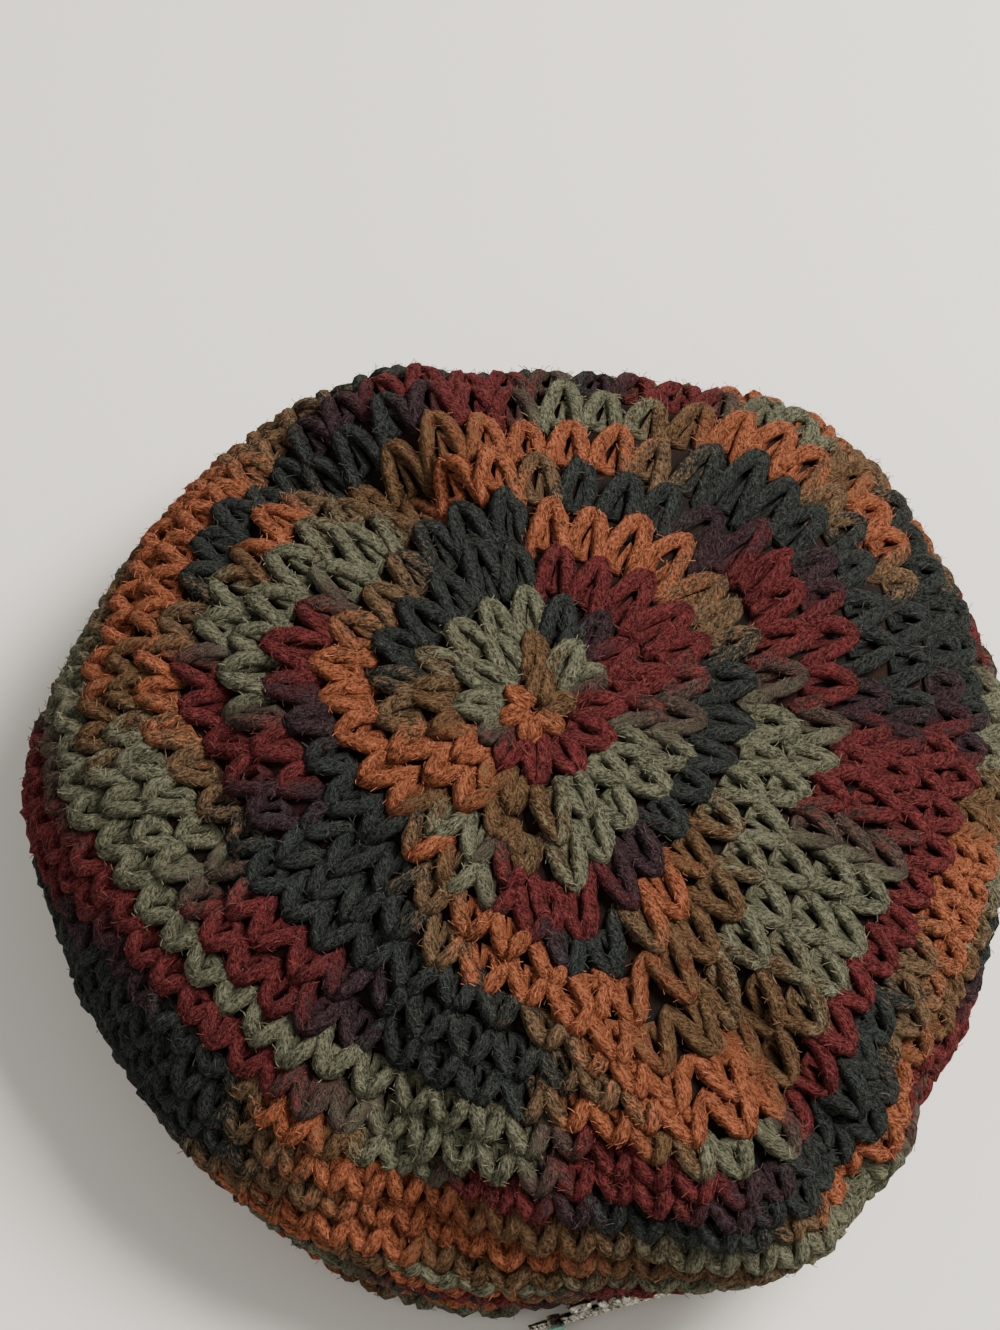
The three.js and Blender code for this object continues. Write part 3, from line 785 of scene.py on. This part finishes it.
# %% The tree that scatters fibres
def fibre_tree():
    tree, given, result = geometry_tree("scatter_fibres", [
        ("Density", "NodeSocketFloat"), ("Length", "NodeSocketFloat"), ("Thickness", "NodeSocketFloat"),
        ("Seed", "NodeSocketInt"), ("Material", "NodeSocketMaterial"),
    ])
    scattered = tree.node("GeometryNodeDistributePointsOnFaces", inputs={
        "Mesh": given.outputs["Geometry"], "Density": given.outputs["Density"], "Seed": given.outputs["Seed"],
    })
    face_out = tree.node("GeometryNodeInputNamedAttribute", {"data_type": "FLOAT_VECTOR"}, {"Name": "face_out"})
    facing = Value(tree, tree.node("ShaderNodeVectorMath", {"operation": "DOT_PRODUCT"}, {
        0: scattered.outputs["Normal"], 1: face_out.outputs[0],
    }).outputs["Value"])
    shown = tree.node("GeometryNodeDeleteGeometry", {"domain": "POINT"}, {
        "Geometry": scattered.outputs["Points"], "Selection": (0.05 - facing).above(0).socket,
    }).outputs[0]
    curve = tree.node("GeometryNodeCurveQuadraticBezier", inputs={
        "Resolution": 3, "Start": (0, 0, -0.08), "Middle": (0.14, 0.45, 0.2), "End": (0, 1, 0.3),
    }).outputs[0]
    ring = tree.node("GeometryNodeCurvePrimitiveCircle", {"mode": "RADIUS"}, {
        "Resolution": 3, "Radius": (Value(tree, given.outputs["Thickness"])
                                    / Value(tree, given.outputs["Length"])).socket,
    }).outputs[0]
    fibre = tree.node("GeometryNodeCurveToMesh", inputs={
        "Curve": curve, "Profile Curve": ring, "Fill Caps": True,
    }).outputs[0]
    spin = tree.node("FunctionNodeRandomValue", {"data_type": "FLOAT_VECTOR"}, {
        "Min": (-0.35, -0.35, 0.0), "Max": (0.35, 0.35, 2 * math.pi), "Seed": given.outputs["Seed"],
    }).outputs[0]
    turned = tree.node("FunctionNodeRotateRotation", {"rotation_space": "LOCAL"}, {
        "Rotation": scattered.outputs["Rotation"],
        "Rotate By": tree.node("FunctionNodeEulerToRotation", inputs={"Euler": spin}).outputs[0],
    }).outputs[0]
    size = Value(tree, tree.node("FunctionNodeRandomValue", {"data_type": "FLOAT"}, {
        "Min": 0.5, "Max": 1.5, "Seed": given.outputs["Seed"],
    }).outputs["Value"]) * Value(tree, given.outputs["Length"])
    placed = tree.node("GeometryNodeInstanceOnPoints", inputs={
        "Points": shown, "Instance": fibre, "Rotation": turned, "Scale": size,
    }).outputs[0]
    placed = tree.node("GeometryNodeRealizeInstances", inputs={"Geometry": placed}).outputs[0]
    placed = tree.node("GeometryNodeSetMaterial", inputs={
        "Geometry": placed, "Material": given.outputs["Material"],
    }).outputs[0]
    tree.tree.links.new(placed, result.inputs["Geometry"])
    return tree.tree


def fibre_material():
    material, tree = new_material("loose_fibre")
    along_repeat = tree.value(tree.node("ShaderNodeAttribute", {"attribute_name": "repeat"}), "Fac")
    paler = tree.node("ShaderNodeMix", {"data_type": "RGBA"}, {
        "Factor": 0.12, 6: tree.ramp(dye_stops(1.3), along_repeat.fraction()), 7: linear(0x9A8F80),
    }).outputs[2]
    tree.skin({"Base Color": paler, "Roughness": 0.9, "Specular IOR Level": 0.1})
    return material


scatter_fibres = fibre_tree()
loose_fibre = fibre_material()
FIBRE_LENGTH = 1.5
FIBRE_THICKNESS = 0.07
# fibres on each square metre of yarn, fewest where they are seen least
FIBRES = {
    "crown_centre": 170000, "crown_outer": 190000, "crown_side": 180000, "underside": 45000, "head_band": 80000,
}
fibres = []
for seed, (node, piece) in enumerate(crochet):
    made = made_by(scatter_fibres, piece, node + "_fibres", density=float(FIBRES[node]),
                   length=FIBRE_LENGTH * MM, thickness=FIBRE_THICKNESS * MM, seed=seed, material=loose_fibre)
    fibres.append(made)
    print(made.name, triangles(made), "triangles")

# %% [markdown]
# ## What shows between the stitches
#
# Between the fat strands a crochet fabric is shadow and loose wool, not a view through. A thin fleece in the
# middle
# of the wall stands for the crossing strands there, and it follows the same form. Its colours are painted shade:
# the wool's charcoal, brown and red darkened to how they look in the shadow between the stitches.

# %% The fleece in the middle of the wall
FLEECE_ENDS = (0.3, LAST_ROUND - 0.35)
FLEECE_DEPTH = 3.4
FLEECE_THICKNESS = 0.7
FLEECE_ROWS = 46
FLEECE_COLUMNS = 80


def fleece_piece():
    rounds = np.linspace(*FLEECE_ENDS, FLEECE_ROWS)
    angles = np.arange(FLEECE_COLUMNS) * 360 / FLEECE_COLUMNS
    place, angle = [grid.ravel() for grid in np.meshgrid(rounds, angles, indexing="ij")]
    normal = outward(place, angle)
    surface = outer_point(place, angle)
    outer = surface - normal * (FLEECE_DEPTH + pressed_by_brooch(surface))[:, None]
    inner = outer - normal * FLEECE_THICKNESS
    index = np.arange(len(outer)).reshape(FLEECE_ROWS, FLEECE_COLUMNS)
    # the same corner of the inner face comes this much later
    inside = len(outer)
    faces = []
    for i in range(FLEECE_ROWS - 1):
        for j in range(FLEECE_COLUMNS):
            k = (j + 1) % FLEECE_COLUMNS
            a, b, c, d = (int(n) for n in (index[i, j], index[i + 1, j], index[i + 1, k], index[i, k]))
            faces += [(a, b, c, d), (inside + d, inside + c, inside + b, inside + a)]
    for i in (0, FLEECE_ROWS - 1):
        for j in range(FLEECE_COLUMNS):
            a, b = int(index[i, j]), int(index[i, (j + 1) % FLEECE_COLUMNS])
            side = (a, b, b + inside, a + inside)
            faces.append(side if i == 0 else side[::-1])
    mesh = bpy.data.meshes.new("painted_shade_fleece")
    mesh.from_pydata(in_frame(np.concatenate([outer, inner])).tolist(), [], faces)
    mesh.shade_smooth()
    return in_scene("painted_shade_fleece", mesh)


def painted_shade_fleece_material():
    material, tree = new_material("painted_shade_fleece")
    place = tree.node("ShaderNodeTexCoord").outputs["Object"]
    tufts = tree.noise(place, 900.0, 4.0, 0.75)
    # Painted shade: near-black charcoal, brown and red, the wool's own colours as they look in the shadow between
    # stitches.
    shade = tree.ramp([
        (0.3, linear(0x1A1D1C)), (0.5, linear(0x2C211C)), (0.7, linear(0x2B1717)),
    ], tree.noise(place, 60.0))
    bump = tree.node("ShaderNodeBump", inputs={
        "Strength": 1.0, "Distance": 0.001, "Height": tufts,
    }).outputs[0]
    tree.skin({
        "Base Color": shade, "Roughness": tufts * 0.2 + 0.85, "Normal": bump, "Specular IOR Level": 0.1,
    })
    return material


painted_shade_fleece = fleece_piece()
painted_shade_fleece.data.materials.append(painted_shade_fleece_material())
print("painted_shade_fleece", triangles(painted_shade_fleece), "triangles")

# %% [markdown]
# ## The brooch
#
# The part's metal frame, stone and pin have their right shape, so they stay and are given their materials. The
# real frame is covered in grains of silver, soldered on in rows, so rows of small beads are laid over the stem
# and the twig. Silver that has been worn is bright on its high places and dark in its hollows: a fine noise turns
# the colour between the two.

# %% Silver, glass and the rows of grains
def metal_material():
    material, tree = new_material("antique_silver")
    worn = tree.noise(tree.node("ShaderNodeTexCoord").outputs["Object"], 700.0, 3.0, 0.6)
    shade = tree.ramp([
        (0.36, linear(0x3A362E)), (0.5, linear(0xA8A394)), (0.64, linear(0xE4E0D4)),
    ], worn)
    bump = tree.node("ShaderNodeBump", inputs={
        "Strength": 0.5, "Distance": 0.0003, "Height": worn,
    }).outputs[0]
    tree.skin({"Base Color": shade, "Metallic": 1.0, "Roughness": 0.26, "Normal": bump})
    return material


def glass_material():
    material, tree = new_material("pale_green_glass")
    cloud = tree.noise(tree.node("ShaderNodeTexCoord").outputs["Object"], 400.0)
    tree.skin({
        "Base Color": tree.ramp([(0.35, linear(0x4E8F7A)), (0.65, linear(0x9FD3BE))], cloud),
        "Roughness": 0.06, "Coat Weight": 1.0, "Transmission Weight": 0.35, "IOR": 1.55,
    })
    return material


def brooch_point(x, y, z):
    """A place on the brooch, with x in half lengths, y in rises and z in millimetres, in design millimetres."""
    return (BROOCH_PLACE + BROOCH_ALONG * x * BROOCH_LENGTH / 2 + np.array([0, 0, y * BROOCH_RISE])
            + BROOCH_OUT * z)


FRONT = BROOCH_METAL / 2 + 0.3
# x, y and thickness of the frame there: each row of grains runs between its points
STEM_GRAINS = [
    (-0.97, 0.165, 0.9),
    (-0.55, 0.24, 1.3),
    (-0.1, 0.375, 1.3),
    (0.2, 0.42, 1.3),
    (0.4, 0.42, 1.25),
    (0.74, 0.24, 0.9),
]
TWIG_GRAINS = [
    (0.34, 0.43, 1.2),
    (0.62, 0.58, 1.1),
    (0.86, 0.7, 0.95),
]
GRAIN_RADIUS = 0.62
GRAIN_STEP = 1.15
GRAIN_BESIDE = 0.55
GRAIN_LIFT = 0.72


def grains():
    """Rows of small beads along the stem and the twig."""
    ball_points, ball_faces = [], []
    template = bpy.data.meshes.new("grain")
    form = bmesh.new()
    bmesh.ops.create_icosphere(form, subdivisions=2, radius=GRAIN_RADIUS)
    form.to_mesh(template)
    form.free()
    corners = np.array([v.co for v in template.vertices])
    sides = [tuple(polygon.vertices) for polygon in template.polygons]
    bpy.data.meshes.remove(template)
    chance = np.random.default_rng(5)
    for row in (STEM_GRAINS, TWIG_GRAINS):
        x, y, thick = np.array(row).T
        steps = np.hypot(np.diff(x) * BROOCH_LENGTH / 2, np.diff(y) * BROOCH_RISE)
        run = np.concatenate([[0], np.cumsum(steps)])
        for at in np.arange(0, run[-1], GRAIN_STEP):
            for side in (-GRAIN_BESIDE, GRAIN_BESIDE):
                centre = brooch_point(np.interp(at, run, x), np.interp(at, run, y) + side / BROOCH_RISE,
                                      FRONT + GRAIN_LIFT * np.interp(at, run, thick))
                size = chance.uniform(0.75, 1.0)
                shift = len(ball_points) * len(corners)
                ball_points.append(centre + corners * size)
                ball_faces += [tuple(shift + i for i in side_faces) for side_faces in sides]
    mesh = bpy.data.meshes.new("brooch_grains")
    mesh.from_pydata(in_frame(np.concatenate(ball_points)).tolist(), [], ball_faces)
    mesh.shade_smooth()
    return in_scene("brooch_grains", mesh)


silver = metal_material()
brooch_grains = grains()
brooch_grains.data.materials.append(silver)
for node, material in (("brooch_frame", silver), ("brooch_pin", silver), ("brooch_stone", glass_material())):
    for part_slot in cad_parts[node].material_slots:
        part_slot.material = material
print("brooch_grains", triangles(brooch_grains), "triangles")

# %% [markdown]
# ## The floor, the light and the camera
#
# A plain pale floor and soft studio light, with the main light high on the right and a little behind. The camera
# looks down at the beret from the front, at the angle of the photograph and from a distance chosen for it.

# %% Floor, light and camera
def plain_material(name, color, roughness):
    material = bpy.data.materials.new(name)
    material.use_nodes = True
    skin = material.node_tree.nodes["Principled BSDF"]
    skin.inputs["Base Color"].default_value = linear(color)
    skin.inputs["Roughness"].default_value = roughness
    return material


FLOOR_REACH = 3
floor_corners = [(x * FLOOR_REACH, y * FLOOR_REACH, 0) for x, y in ((-1, -1), (1, -1), (1, 1), (-1, 1))]
floor_mesh = bpy.data.meshes.new("floor")
floor_mesh.from_pydata(floor_corners, [], [(0, 1, 2, 3)])
floor = in_scene("floor", floor_mesh)
floor.data.materials.append(plain_material("floor", 0xF6F1E8, 0.9))


LIT_PLACE = Vector((0, 0, 0.04))


def area_light(name, place, size, power, color):
    data = bpy.data.lights.new(name, "AREA")
    data.size = size
    data.energy = power
    data.color = color
    lamp = in_scene(name, data)
    lamp.location = place
    lamp.rotation_euler = (LIT_PLACE - Vector(place)).to_track_quat("-Z", "Y").to_euler()


area_light("key", (0.75, 0.45, 1.1), 0.6, 38, (1.0, 0.97, 0.92))
area_light("fill", (-0.9, -0.8, 0.9), 1.2, 4, (1.0, 0.98, 0.95))

world = bpy.data.worlds.new("studio")
world.use_nodes = True
sky = world.node_tree.nodes["Background"]
sky.inputs["Color"].default_value = (0.97, 0.95, 0.92, 1)
sky.inputs["Strength"].default_value = 0.4
bpy.context.scene.world = world

VIEW_AZIMUTH = math.radians(5.5)
VIEW_ELEVATION = math.radians(65.34)
VIEW_ROLL = math.radians(2.54)
VIEW_DISTANCE = 739
VIEW_TARGET = (-10.73, 18.8, 60)
FOCAL_PIXELS = 2964
IMAGE_HEIGHT = 1330
level = math.cos(VIEW_ELEVATION)
back = Vector((math.sin(VIEW_AZIMUTH) * level, -math.cos(VIEW_AZIMUTH) * level, math.sin(VIEW_ELEVATION)))
flat_right = Vector((math.cos(VIEW_AZIMUTH), math.sin(VIEW_AZIMUTH), 0))
right = Matrix.Rotation(VIEW_ROLL, 3, back) @ flat_right
camera_data = bpy.data.cameras.new("camera")
camera_data.sensor_width = 36
camera_data.lens = camera_data.sensor_width * FOCAL_PIXELS / IMAGE_HEIGHT
camera_data.clip_start, camera_data.clip_end = 0.01, 20
camera = in_scene("camera", camera_data)
camera.location = Vector(in_frame(VIEW_TARGET)) + back * VIEW_DISTANCE * MM
camera.rotation_euler = Matrix((right, back.cross(right), back)).transposed().to_euler()
bpy.context.scene.camera = camera
print("camera", [round(c, 3) for c in camera.location])

# %% [markdown]
# ## What stands for what
#
# Each stretch of stitches replaces its solid. Every piece rides on the part's one body.

# %% Hand over
for node, piece in crochet:
    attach(piece, "root")
    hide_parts(node)
for piece in [*back_strands, *fibres, painted_shade_fleece]:
    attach(piece, "root")
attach(brooch_grains, "root")
